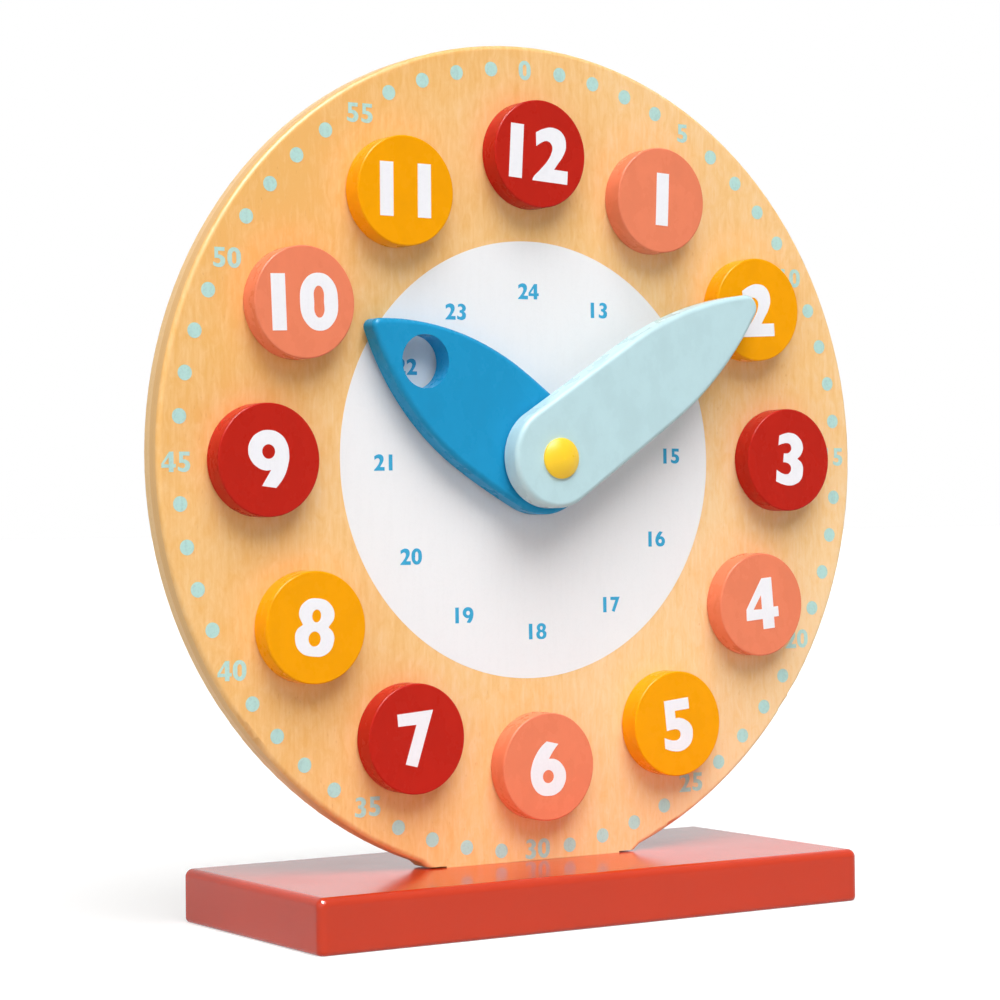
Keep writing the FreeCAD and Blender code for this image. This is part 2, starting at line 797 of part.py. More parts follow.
def tooth_space(teeth):
    """One tooth space, centred on the sketch's -Y direction and open past the tips."""
    pitch_radius = S.gear_module.value * teeth / 2
    pressure = math.radians(S.pressure_angle.value)
    base_radius = pitch_radius * math.cos(pressure)
    root_radius = pitch_radius - DEDENDUM_SHARE * S.gear_module.value
    open_radius = pitch_radius + (ADDENDUM_SHARE * S.gear_module.value) + S.backlash.value
    tooth = math.pi * S.gear_module.value / 2 - S.backlash.value
    half_pitch = math.pi / teeth

    def half_space(radius):
        roll = math.acos(min(1.0, base_radius / radius))
        half_tooth = tooth / (2 * pitch_radius) + involute(pressure) - involute(roll)
        return half_pitch - half_tooth

    def at(radius, angle):
        return FreeCAD.Vector(radius * math.sin(angle), -radius * math.cos(angle), 0)

    flank_foot = max(base_radius, root_radius)
    flank_middle = (flank_foot + open_radius) / 2
    foot_angle = half_space(flank_foot)
    middle_angle = half_space(flank_middle)
    open_angle = half_space(open_radius)
    curves = [
        Part.Arc(
            at(flank_foot, foot_angle), at(flank_middle, middle_angle), at(open_radius, open_angle)
        ),
        Part.Arc(at(open_radius, open_angle), at(open_radius, 0), at(open_radius, -open_angle)),
        Part.Arc(
            at(open_radius, -open_angle),
            at(flank_middle, -middle_angle),
            at(flank_foot, -foot_angle),
        ),
    ]
    if base_radius > root_radius:
        curves += [
            Part.LineSegment(at(flank_foot, -foot_angle), at(root_radius, -foot_angle)),
            Part.Arc(at(root_radius, -foot_angle), at(root_radius, 0), at(root_radius, foot_angle)),
            Part.LineSegment(at(root_radius, foot_angle), at(flank_foot, foot_angle)),
        ]
    else:
        curves.append(
            Part.Arc(at(root_radius, -foot_angle), at(root_radius, 0), at(root_radius, foot_angle))
        )
    return curves


def make_gear(label, teeth, start, width, bore, hub=None, web=False):
    """A spur gear whose front face is at the given depth, with an optional rear hub."""
    body = new_body(label)
    tip_radius = S.gear_module * (teeth / 2 + ADDENDUM_SHARE)
    blank = new_sketch(body, "Blank", "XZ_Plane", -width)
    draw_circle(blank, tip_radius)
    pad(body, blank, width)
    space = new_sketch(body, "ToothSpace", "XZ_Plane", -width)
    for index, curve in enumerate(tooth_space(teeth.value)):
        space.addGeometry(curve, False)
        space.addConstraint(Sketcher.Constraint("Block", index))
    first_space = pocket(body, space, width, "ToothSpaceCut", reverse=True)
    polar_pattern(body, first_space, teeth, "Teeth")
    if hub is not None:
        boss = new_sketch(body, "Hub", "XZ_Plane", -(width + hub))
        draw_circle(boss, S.wheel_hub_radius)
        pad(body, boss, hub + width / 2, "HubPad")
    hole = new_sketch(body, "Bore", "XZ_Plane", S.overrun)
    draw_circle(hole, bore)
    pocket(body, hole, S.overrun + width * 2, "BoreCut")
    if web:
        window = new_sketch(body, "WebHole", "XZ_Plane")
        draw_circle(window, tip_radius * WEB_HOLE_SHARE, ZERO, tip_radius * WEB_PLACE_SHARE)
        first_window = pocket(body, window, width, "WebHoleCut")
        polar_pattern(body, first_window, S.web_hole_count, "WebHoles")
    return place(body, y=start, z=dial_centre_height)


def make_gear_train():
    minute_pinion = make_gear(
        "minute_pinion",
        S.minute_pinion_teeth,
        pinion_start,
        pinion_end - pinion_start,
        S.arbor_radius + S.seated_clearance,
    )
    hour_wheel = make_gear(
        "hour_wheel",
        S.hour_wheel_teeth,
        hour_wheel_start,
        S.wheel_width,
        tube_radius + S.seated_clearance,
        web=True,
    )
    stud_bore = S.stud_radius + S.running_clearance
    intermediate_height = dial_centre_height - centre_distance
    wheel = make_gear(
        "intermediate_wheel",
        S.intermediate_wheel_teeth,
        intermediate_wheel_start,
        S.wheel_width,
        stud_bore,
        hub=S.wheel_gap,
        web=True,
    )
    place(wheel, y=intermediate_wheel_start, z=intermediate_height)
    pinion = make_gear(
        "intermediate_pinion",
        S.intermediate_pinion_teeth,
        plate_back + S.axial_play,
        intermediate_wheel_start - plate_back - S.axial_play,
        stud_bore,
    )
    half_tooth_pitch = as_size(half_turn) / S.intermediate_pinion_teeth
    place(pinion, y=plate_back + S.axial_play, z=intermediate_height, turn=half_tooth_pitch)
    stud = turned(
        "intermediate_stud",
        [
            (ZERO, dial_back),
            (S.stud_radius, dial_back),
            (S.stud_radius, cover_outside),
            (ZERO, cover_outside),
        ],
    )
    place(stud, z=intermediate_height)
    return [minute_pinion, hour_wheel, wheel, pinion, stud]


# Gear plate, cover and the screws
def draw_four_screws(sketch, radius):
    for side in (-screw_reach, screw_reach):
        for height in (ZERO, -centre_distance):
            draw_circle(sketch, radius, side, height)


def make_gear_plate():
    body = new_body("gear_plate")
    outline = new_sketch(body, "Outline", "XZ_Plane")
    draw_slot(outline, flange_radius, centre_distance)
    pad(body, outline, S.plate_thickness)
    holes = new_sketch(body, "Holes", "XZ_Plane")
    draw_circle(holes, bush_radius + S.seated_clearance)
    draw_circle(holes, S.stud_radius + S.seated_clearance, ZERO, -centre_distance)
    draw_four_screws(holes, S.cover_screw_radius + S.joint_clearance)
    pocket(body, holes, S.plate_thickness, "HolesCut", reverse=True)
    return place(body, y=plate_back, z=dial_centre_height)


def make_gear_cover():
    body = new_body("gear_cover")
    height = cover_outside - plate_back
    dome = new_sketch(body, "Dome", "XZ_Plane", -height)
    draw_slot(dome, wall_radius, centre_distance)
    pad(body, dome, height)
    fillet(body, S.cover_rounding, lambda edge: lies_at_y(edge, height.value))
    flange = new_sketch(body, "Flange", "XZ_Plane", -S.flange_thickness)
    draw_slot(flange, flange_radius, centre_distance)
    pad(body, flange, S.flange_thickness, "FlangePad")
    hollow = new_sketch(body, "Hollow", "XZ_Plane")
    draw_slot(hollow, case_radius, centre_distance)
    pocket(body, hollow, height - S.cover_wall, "HollowCut")
    holes = new_sketch(body, "Holes", "XZ_Plane")
    draw_circle(holes, S.arbor_radius + S.running_clearance)
    draw_circle(holes, S.stud_radius + S.seated_clearance, ZERO, -centre_distance)
    draw_four_screws(holes, S.cover_screw_radius + S.joint_clearance)
    pocket(body, holes, height, "HolesCut")
    return place(body, y=plate_back, z=dial_centre_height)


def cut_cross_recess(body, face, head_radius, towards_front):
    """A cross recess for the driver, cut into the head's face at the given depth."""
    recess = new_sketch(body, "Recess", "XZ_Plane", -face)
    reach = head_radius * RECESS_REACH_SHARE
    half_width = S.recess_width / 2
    draw_polygon(
        recess,
        [
            (-reach, -half_width),
            (-half_width, -half_width),
            (-half_width, -reach),
            (half_width, -reach),
            (half_width, -half_width),
            (reach, -half_width),
            (reach, half_width),
            (half_width, half_width),
            (half_width, reach),
            (-half_width, reach),
            (-half_width, half_width),
            (-reach, half_width),
        ],
    )
    pocket(body, recess, S.recess_depth, "RecessCut", reverse=not towards_front)


def make_cover_screws():
    seat = plate_back + S.flange_thickness
    head_end = seat + S.cover_screw_head_height
    screws = []
    for side in (-screw_reach, screw_reach):
        for drop in (ZERO, centre_distance):
            screw = turned(
                f"cover_screw_{len(screws) + 1}",
                [
                    (ZERO, dial_back - cover_screw_grip),
                    (S.cover_screw_radius, dial_back - cover_screw_grip),
                    (S.cover_screw_radius, seat),
                    (S.cover_screw_head_radius, seat),
                    (S.cover_screw_head_radius, head_end),
                    (ZERO, head_end),
                ],
            )
            cut_cross_recess(screw, head_end, S.cover_screw_head_radius, False)
            place(screw, x=side, z=dial_centre_height - drop)
            screws.append(screw)
    return compound("cover_screws", screws)


def make_base_screws():
    """Countersunk wood screws that run up through the base into the tenon."""
    cone_height = S.base_screw_head_radius - S.base_screw_radius
    screws = []
    for spread in (-S.base_screw_spread, S.base_screw_spread):
        screw = turned(
            f"base_screw_{len(screws) + 1}",
            [
                (ZERO, ZERO),
                (S.base_screw_head_radius, ZERO),
                (S.base_screw_radius, cone_height),
                (S.base_screw_radius, S.base_screw_length),
                (ZERO, S.base_screw_length),
            ],
        )
        cut_cross_recess(screw, ZERO, S.base_screw_head_radius, False)
        screw.Placement = FreeCAD.Placement(
            FreeCAD.Vector(), FreeCAD.Rotation(FreeCAD.Vector(1, 0, 0), quarter_turn)
        )
        place(screw, x=spread, z=S.base_screw_sink)
        screws.append(screw)
    return compound("base_screws", screws)


pieces = [
    make_base_block(),
    make_dial_plate(),
    *make_blocks_and_pegs(),
    make_hour_hand(),
    make_minute_hand(),
    make_centre_cap(),
    *make_hand_axis(),
    *make_gear_train(),
    make_gear_plate(),
    make_gear_cover(),
    make_cover_screws(),
    make_base_screws(),
]
doc.recompute()

failed = [
    item.Label for item in doc.Objects if "Invalid" in item.State or "Error" in item.State
]
for piece in pieces:
    if piece.Shape.isNull() or not piece.Shape.isValid():
        failed.append(piece.Label)
if failed:
    raise RuntimeError(f"these did not build: {failed}")

os.makedirs("parts", exist_ok=True)
for piece in pieces:
    shape = piece.Shape
    shape.exportStep(f"parts/{piece.Label}.step")
    box = shape.BoundBox
    print(
        f"{piece.Label:22s} solids {len(shape.Solids)} volume {shape.Volume:10.1f} "
        f"x {box.XMin:7.2f} {box.XMax:7.2f} y {box.YMin:7.2f} {box.YMax:7.2f} "
        f"z {box.ZMin:7.2f} {box.ZMax:7.2f}"
    )
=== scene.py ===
"""Dresses the geared teaching clock: varnished birch ply dial with its print, painted hour
blocks and hands, red lacquered base, and the brass, steel and nylon of the gear train behind."""

import math

import bpy
from mathutils import Matrix, Vector


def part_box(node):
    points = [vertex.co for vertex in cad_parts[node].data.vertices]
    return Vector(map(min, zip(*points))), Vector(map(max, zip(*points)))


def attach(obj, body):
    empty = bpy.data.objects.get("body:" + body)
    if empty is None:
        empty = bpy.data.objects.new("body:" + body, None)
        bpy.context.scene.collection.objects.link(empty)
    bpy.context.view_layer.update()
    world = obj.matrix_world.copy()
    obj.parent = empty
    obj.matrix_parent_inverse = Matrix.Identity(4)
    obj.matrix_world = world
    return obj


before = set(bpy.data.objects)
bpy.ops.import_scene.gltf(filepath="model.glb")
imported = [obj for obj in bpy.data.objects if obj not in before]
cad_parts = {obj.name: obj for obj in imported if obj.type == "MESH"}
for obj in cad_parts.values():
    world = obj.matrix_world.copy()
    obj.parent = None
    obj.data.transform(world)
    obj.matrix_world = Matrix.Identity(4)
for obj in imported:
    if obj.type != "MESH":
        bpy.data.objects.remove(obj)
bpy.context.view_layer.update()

bl_info = {
    "name": "Geared teaching clock",
    "version": (1, 0, 0),
    "blender": (4, 5, 0),
    "location": "3D View > Sidebar > Clock",
    "description": "Dresses the clock's CAD pieces with print, paint, varnish, metal and stage",
    "category": "Object",
}

MM = 0.001
HOURS = range(1, 13)

# Where the clock's parts lie, in mm.
DIAL_FRONT_Y = -5.0
DIAL_BACK_Y = 5.0
DIAL_CENTRE_Z = 146.221
DIAL_CENTRE = Vector((0, DIAL_FRONT_Y, DIAL_CENTRE_Z))

# The dial's plies from its front: each one's grain, and where it starts in the board's depth.
PLIES = (("long", 0.0), ("cross", 0.152), ("cross", 0.337), ("long", 0.517), ("long", 0.707),
         ("long", 0.932))
GLUE_LINE = 0.007

# Where each light shines from, and how wide it looks, in degrees.
LIGHTS = {
    "key": ((-0.12, -0.65, 1.0), 46),
    "fill": ((-1.0, -0.4, 0.25), 70),
    "glint": ((-0.30, -0.35, 0.90), 36),
}
SENSOR_WIDTH = 36.0
FLOOR_HALF = 20.0  # in metres, from the clock to the floor's edge
FLOOR_DROP = 0.00005  # in metres, so that the floor doesn't cut the base's underside

# How far apart a material's nodes are put down.
NODE_ACROSS = 180
NODE_DOWN = 160
NODE_ROWS = 4

# Block numerals: each block's paint, and how far its numeral leans clockwise, in degrees.
BLOCKS = {
    1: ("coral", 2.5), 2: ("amber", -3.0), 3: ("red", 0.5), 4: ("coral", -5.0),
    5: ("amber", -6.5), 6: ("coral", -1.0), 7: ("red", -5.0), 8: ("amber", 6.5),
    9: ("red", 0.0), 10: ("coral", -2.0), 11: ("amber", 0.25), 12: ("red", 3.5),
}

# Numeral outlines, drawn on a block in mm: (right, up), and C at a corner of the line.
C = "corner"
GLYPH_HEIGHT = 17.4
GLYPHS = {
    "0": [
        [(0, 8.85), (4.7, 6.7), (6.6, 0.2), (4.7, -6.5), (0, -8.85), (-4.7, -6.5),
         (-6.6, 0.2), (-4.7, 6.7)],
        [(0, 4.9), (1.3, 4.0), (1.7, 0), (1.3, -4.0), (0, -4.85), (-1.3, -4.0), (-1.7, 0),
         (-1.3, 4.0)],
    ],
    "1": [[(-2.45, 8.65, C), (2.45, 8.65, C), (2.45, -8.65, C), (-2.45, -8.65, C)]],
    "2": [[
        (-6.3, 6.7, C), (-3.4, 8.2), (0.2, 8.9), (4.0, 7.4), (5.4, 3.6), (4.4, 0.2),
        (2.7, -2.3), (1.2, -4.5, C), (6.5, -4.5, C), (6.5, -8.8, C), (-6.9, -8.8, C),
        (-6.7, -8.0), (-4.2, -5.2), (-1.3, -1.8), (0, 0.8), (0.2, 2.6), (-0.6, 3.9),
        (-1.9, 4.4), (-3.6, 3.9), (-6.0, 2.3, C),
    ]],
    "3": [[
        (-4.1, 8.2, C), (-2.0, 8.9), (0.3, 9.2), (3.6, 8.2), (6.0, 4.8), (5.4, 2.2),
        (3.6, 0.4, C), (5.5, -1.1), (6.0, -3.8), (5.0, -6.8), (2.8, -8.2), (0.3, -8.7),
        (-3.0, -8.2), (-5.6, -7.3, C), (-5.3, -3.4, C), (-3.2, -4.5), (-1.3, -4.9),
        (0.2, -4.4), (0.9, -2.9), (0.3, -1.6), (-1.2, -0.9), (-2.5, -0.8, C),
        (-2.2, 2.2, C), (-0.4, 2.3), (0.6, 2.9), (1.0, 4.2), (0.3, 5.4), (-1.0, 5.7),
        (-3.0, 5.4), (-4.5, 4.9, C),
    ]],
    "4": [
        [(0.7, 8.8, C), (4.9, 8.8, C), (4.9, -1.3, C), (6.9, -1.3, C), (6.9, -4.7, C),
         (4.8, -4.7, C), (4.8, -8.4, C), (0, -8.4, C), (0, -4.9, C), (-6.8, -4.9, C),
         (-6.6, -1.1, C)],
        [(0, 3.2, C), (0, -1.6, C), (-3.6, -1.4, C)],
    ],
    "5": [[
        (-4.8, 8.2, C), (5.1, 8.1, C), (5.1, 4.3, C), (-0.8, 4.4, C), (-0.8, 1.9, C),
        (0.8, 1.8), (3.4, 0.6), (5.3, -1.6), (5.6, -3.6), (4.6, -6.8), (2.2, -8.6),
        (-0.3, -9.1), (-3.4, -8.6), (-6.2, -7.4, C), (-6.0, -3.8, C), (-4.2, -4.7),
        (-2.0, -5.3), (-0.4, -5.1), (0.5, -4.0), (0.3, -2.5), (-1.0, -1.7), (-2.5, -1.6),
        (-4.8, -1.7, C),
    ]],
    "6": [
        [(-0.7, 8.2, C), (3.7, 7.1, C), (1.6, 4.8), (0, 2.6, C), (2.6, 2.2), (5.3, 0),
         (6.4, -2.9), (5.2, -6.8), (2.7, -8.8), (-0.3, -9.3), (-3.6, -8.6), (-6.0, -6.3),
         (-7.1, -2.6), (-6.5, 1.0), (-4.6, 4.6), (-2.6, 6.8)],
        [(-0.4, -1.0), (1.7, -3.1), (-0.4, -5.2), (-2.5, -3.1)],
    ],
    "7": [[
        (-6.5, 8.5, C), (6.4, 8.4, C), (6.3, 8.0, C), (-0.9, -8.7, C), (-5.0, -7.3, C),
        (0.1, 4.5, C), (-6.5, 4.7, C),
    ]],
    "8": [
        [(-0.3, 8.9), (4.0, 7.6), (5.85, 3.9), (4.15, 0.45, C), (6.0, -1.2), (6.45, -3.9),
         (4.5, -7.6), (-0.3, -8.85), (-5.1, -7.6), (-7.05, -3.9), (-6.6, -1.2),
         (-4.75, 0.45, C), (-6.45, 3.9), (-4.6, 7.6)],
        [(-0.3, 5.5), (1.25, 3.55), (-0.3, 1.6), (-1.85, 3.55)],
        [(-0.3, -1.2), (1.8, -3.5), (-0.3, -5.8), (-2.4, -3.5)],
    ],
    "9": [
        [(-2.6, -7.9, C), (0.5, -3.1, C), (-1.5, -3.2), (-4.5, -2.0), (-6.5, 0.2),
         (-7.2, 2.6), (-6.4, 5.8), (-3.8, 8.2), (-0.2, 9.0), (3.6, 7.9), (5.9, 5.3),
         (6.7, 1.5), (6.1, -2.2), (4.6, -5.6), (2.2, -8.5, C)],
        [(-0.3, 4.7), (1.9, 2.5), (-0.3, 0.3), (-2.5, 2.5)],
    ],
}
# What stands on each block: (digit, right, up) from the block's centre, then its size if not 1.
BLOCK_DIGITS = {
    1: [("1", 0.4, 0.3)], 2: [("2", 0, -0.3)],
    10: [("1", -9.1, 0), ("0", 4.8, 0)],
    11: [("1", -7.0, 0.2, 0.975), ("1", 6.6, 0.2, 0.975)],
    12: [("1", -9.2, 0), ("2", 4.25, 0)],
}
DIGIT_PITCH_SHARE = 0.80  # of the height, between the digits of a small numeral

# Small numerals on the dial: (right, up) of each one's middle, from the dial's centre.
MINUTE_PLACES = {
    0: (-0.3, 125.8), 5: (62.35, 109.3), 10: (106.9, 62.3), 15: (124.85, 0.85),
    20: (108.15, -61.65), 25: (62.4, -108.0), 30: (0.55, -125.6), 35: (-62.3, -107.9),
    40: (-108.7, -63.7), 45: (-126.45, -0.55), 50: (-108.75, 61.25), 55: (-61.85, 108.05),
}
LATE_HOUR_PLACES = {
    24: (-0.1, 54.35), 13: (27.0, 48.95), 14: (48.8, 27.05), 15: (55.5, 1.15),
    16: (48.95, -26.4), 17: (30.35, -47.65), 18: (1.15, -55.5), 19: (-26.65, -49.45),
    20: (-45.4, -30.45), 21: (-54.45, -0.85), 22: (-46.35, 29.25), 23: (-27.65, 47.05),
}


def length_mm(name, description, default):
    """A size in mm that a user may change."""
    return bpy.props.FloatProperty(name=name, description=description, default=default, min=0.0)


def share(name, description, default):
    """A value from 0 to 1."""
    return bpy.props.FloatProperty(
        name=name, description=description, default=default, min=0.0, max=1.0,
        subtype="FACTOR")


def colour(name, description, red, green, blue):
    """A colour as it shows on a screen, each part from 0 to 255."""
    return bpy.props.FloatVectorProperty(
        name=name, description=description, size=3, min=0.0, max=1.0,
        subtype="COLOR_GAMMA", default=(red / 255, green / 255, blue / 255))


class ClockPrint(bpy.types.PropertyGroup):
    """The print on the dial and on the hour blocks."""

    film: length_mm("Film", "How proud of the surface the print stands, in mm", 0.05)
    turn: bpy.props.FloatProperty(
        name="Turn", description="How far the dial's print is turned clockwise",
        default=math.radians(-0.205), subtype="ANGLE", unit="ROTATION")
    disc_radius: length_mm("Disc radius", "White disc in the dial's middle, in mm", 70.5)
    disc_hole: length_mm("Disc hole", "Hole in the disc round the bush, in mm", 8.2)
    dot_circle: length_mm("Dot circle", "Circle that the minute dots stand on, in mm", 126.0)
    dot_radius: length_mm("Dot radius", "Each minute dot, in mm", 2.35)
    minute_height: length_mm("Minute numerals", "Height of 0 to 55, in mm", 6.37)
    minute_thinning: length_mm("Minute thinning", "Taken off each side of a stroke", 0.11)
    late_height: length_mm("Late hours", "Height of the numerals 13 to 24, in mm", 5.17)
    late_thinning: length_mm("Late thinning", "Taken off each side of a stroke", 0.06)
    disc: colour("Disc", "White of the disc", 238, 238, 239)
    minute: colour("Minutes", "Teal of the dots and minute numerals", 178, 217, 211)
    late_hour: colour("Late hours", "Blue of the numerals 13 to 24", 52, 165, 208)
    numeral: colour("Block numerals", "White of the hour blocks' numerals", 239, 238, 242)


class ClockWood(bpy.types.PropertyGroup):
    """The dial's birch plywood and the pegs' beech."""

    light: colour("Light wood", "Lightest patches of the face veneer", 247, 211, 162)
    middle: colour("Middle wood", "Most of the face veneer", 243, 197, 134)
    dark: colour("Dark wood", "Darkest patches of the face veneer", 236, 180, 104)
    fleck: colour("Flecks", "Short pores in the veneer", 210, 144, 78)
    cross_ply: colour("Cross plies", "End grain between the face veneers", 232, 183, 116)
    long_ply: colour("Long plies", "Long grain between the face veneers", 240, 200, 142)
    glue: colour("Glue lines", "Between the plies", 212, 162, 106)
    peg_light: colour("Peg, light", "Beech of the dowel pegs", 228, 192, 146)
    peg_dark: colour("Peg, dark", "Rays and grain of the dowel pegs", 197, 150, 102)


class ClockPaint(bpy.types.PropertyGroup):
    """Paint and lacquer."""

    base: colour("Base", "Gloss lacquer of the base", 197, 50, 10)
    red: colour("Red blocks", "Satin paint of 12, 3, 7 and 9", 186, 33, 20)
    coral: colour("Coral blocks", "Satin paint of 1, 4, 6 and 10", 233, 130, 95)
    amber: colour("Amber blocks", "Satin paint of 2, 5, 8 and 11", 243, 160, 0)
    hour_hand: colour("Hour hand", "Satin paint", 30, 146, 195)
    minute_hand: colour("Minute hand", "Satin paint", 186, 216, 221)
    cap: colour("Cap", "Gloss of the centre cap", 254, 206, 22)
    gloss: share("Paint roughness", "Of the blocks and hands", 0.27)
    lacquer_gloss: share("Lacquer roughness", "Of the base", 0.15)


class ClockHardware(bpy.types.PropertyGroup):
    """Metal and plastic."""

    brass: colour("Brass", "Bush and hour tube", 214, 178, 104)
    steel: colour("Steel", "Arbor and stud", 188, 189, 192)
    zinc: colour("Zinc", "Screws and gear plate", 199, 201, 206)
    nylon: colour("Nylon", "Gears and washer", 235, 231, 218)
    cover: colour("Cover", "Gear cover", 226, 222, 210)


class ClockStage(bpy.types.PropertyGroup):
    """Camera, light and floor."""

    lens: bpy.props.FloatProperty(
        name="Lens", description="Focal length on the camera's 36 mm sensor", default=100.41,
        unit="CAMERA")
    azimuth: bpy.props.FloatProperty(
        name="Azimuth", description="Where the camera stands, from the front to the right",
        default=math.radians(-32.519), subtype="ANGLE", unit="ROTATION")
    elevation: bpy.props.FloatProperty(
        name="Elevation", description="How far the camera stands above its aim",
        default=math.radians(-0.406), subtype="ANGLE", unit="ROTATION")
    roll: bpy.props.FloatProperty(
        name="Roll", description="How far the camera leans",
        default=math.radians(-0.594), subtype="ANGLE", unit="ROTATION")
    distance: length_mm("Distance", "From the camera to its aim, in mm", 894.5)
    aim_right: bpy.props.FloatProperty(
        name="Aim right", description="Aim from the dial's centre, in mm", default=-11.89)
    aim_up: bpy.props.FloatProperty(
        name="Aim up", description="Aim from the dial's centre, in mm", default=-12.98)
    key: bpy.props.FloatProperty(
        name="Key", description="Strength of the broad light from above", default=3.25, min=0.0)
    fill: bpy.props.FloatProperty(
        name="Fill", description="Strength of the broad light from the left", default=1.2,
        min=0.0)
    glint: bpy.props.FloatProperty(
        name="Glint", description="Strength of the light that shows only as gloss on edges",
        default=18.0, min=0.0)
    ambient: share("Ambient", "Strength of the light from all round", 0.14)
    floor: share("Floor", "How much light the floor gives back", 0.55)
    floor_lift: share("Floor lift", "White added where the camera sees the floor", 0.55)


# Node trees.

def linear(screen_colour):
    """A screen colour as the shader takes it."""
    return tuple(
        part / 12.92 if part <= 0.04045 else ((part + 0.055) / 1.055) ** 2.4
        for part in screen_colour)


def rgba(screen_colour):
    """A screen colour with full cover, as a colour socket takes it."""
    return (*linear(screen_colour), 1.0)


class Finish:
    """A material whose nodes are put down one by one, in the object's own coordinates."""

    def __init__(self, name):
        self.material = bpy.data.materials.new(name)
        self.material.use_nodes = True
        self.tree = self.material.node_tree
        self.tree.nodes.clear()
        self.column = 0
        self.place = self.put("ShaderNodeTexCoord").outputs["Object"]

    def put(self, kind, sockets=None, **settings):
        """Adds a node, with its settings and with values or links for its sockets."""
        node = self.tree.nodes.new(kind)
        self.column += 1
        node.location = (self.column * NODE_ACROSS, -(self.column % NODE_ROWS) * NODE_DOWN)
        for key, value in settings.items():
            setattr(node, key, value)
        for key, value in (sockets or {}).items():
            if isinstance(value, bpy.types.NodeSocket):
                self.tree.links.new(value, node.inputs[key])
            else:
                node.inputs[key].default_value = value
        return node

    def noise(self, per_metre, detail=2.0, roughness=0.5, distortion=0.0, shift=(0, 0, 0)):
        """Noise from 0 to 1, with its own count of patches per metre along x, y and z."""
        scaled = self.put("ShaderNodeMapping", {
            "Vector": self.place, "Scale": per_metre, "Location": shift})
        return self.put("ShaderNodeTexNoise", {
            "Vector": scaled.outputs[0], "Scale": 1.0, "Detail": detail,
            "Roughness": roughness, "Distortion": distortion}).outputs["Fac"]

    def math(self, operation, first, second=None):
        """One step of arithmetic."""
        sockets = {0: first}
        if second is not None:
            sockets[1] = second
        return self.put("ShaderNodeMath", sockets, operation=operation).outputs[0]

    def spread(self, value, low, high, new_low=0.0, new_high=1.0):
        """A value from low to high, drawn out to the new range and kept in it."""
        return self.put("ShaderNodeMapRange", {
            "Value": value, "From Min": low, "From Max": high, "To Min": new_low,
            "To Max": new_high}).outputs["Result"]

    def ramp(self, value, stops, constant=False):
        """A colour from a value, by stops of (value, colour socket value)."""
        node = self.put("ShaderNodeValToRGB", {"Fac": value})
        band = node.color_ramp
        band.interpolation = "CONSTANT" if constant else "LINEAR"
        while len(band.elements) < len(stops):
            band.elements.new(1.0)
        for element, (position, tint) in zip(band.elements, stops):
            element.position = position
            element.color = tint
        return node.outputs["Color"]

    def mix(self, amount, first, second):
        """Two colours in one."""
        node = self.put("ShaderNodeMix", {0: amount, 6: first, 7: second},
                        data_type="RGBA")
        return node.outputs[2]

    def axes(self):
        """The object's x, y and z, in metres."""
        return self.put("ShaderNodeSeparateXYZ", {"Vector": self.place}).outputs

    def bump(self, height, distance_mm, strength=1.0, below=None):
        """A normal from a height of 0 to 1, at that depth."""
        sockets = {"Height": height, "Distance": distance_mm * MM, "Strength": strength}
        if below is not None:
            sockets["Normal"] = below
        return self.put("ShaderNodeBump", sockets).outputs["Normal"]

    def surface(self, tint, roughness, normal=None, **values):
        """Ends the material in a Principled shader. Further values go on its sockets."""
        shader = self.put("ShaderNodeBsdfPrincipled", {
            "Base Color": tint, "Roughness": roughness})
        for key, value in values.items():
            shader.inputs[key.replace("_", " ")].default_value = value
        if normal is not None:
            self.tree.links.new(normal, shader.inputs["Normal"])
        end = self.put("ShaderNodeOutputMaterial", {"Surface": shader.outputs[0]})
        end.location = (self.column * NODE_ACROSS, 0)
        return self.material


# Finishes.

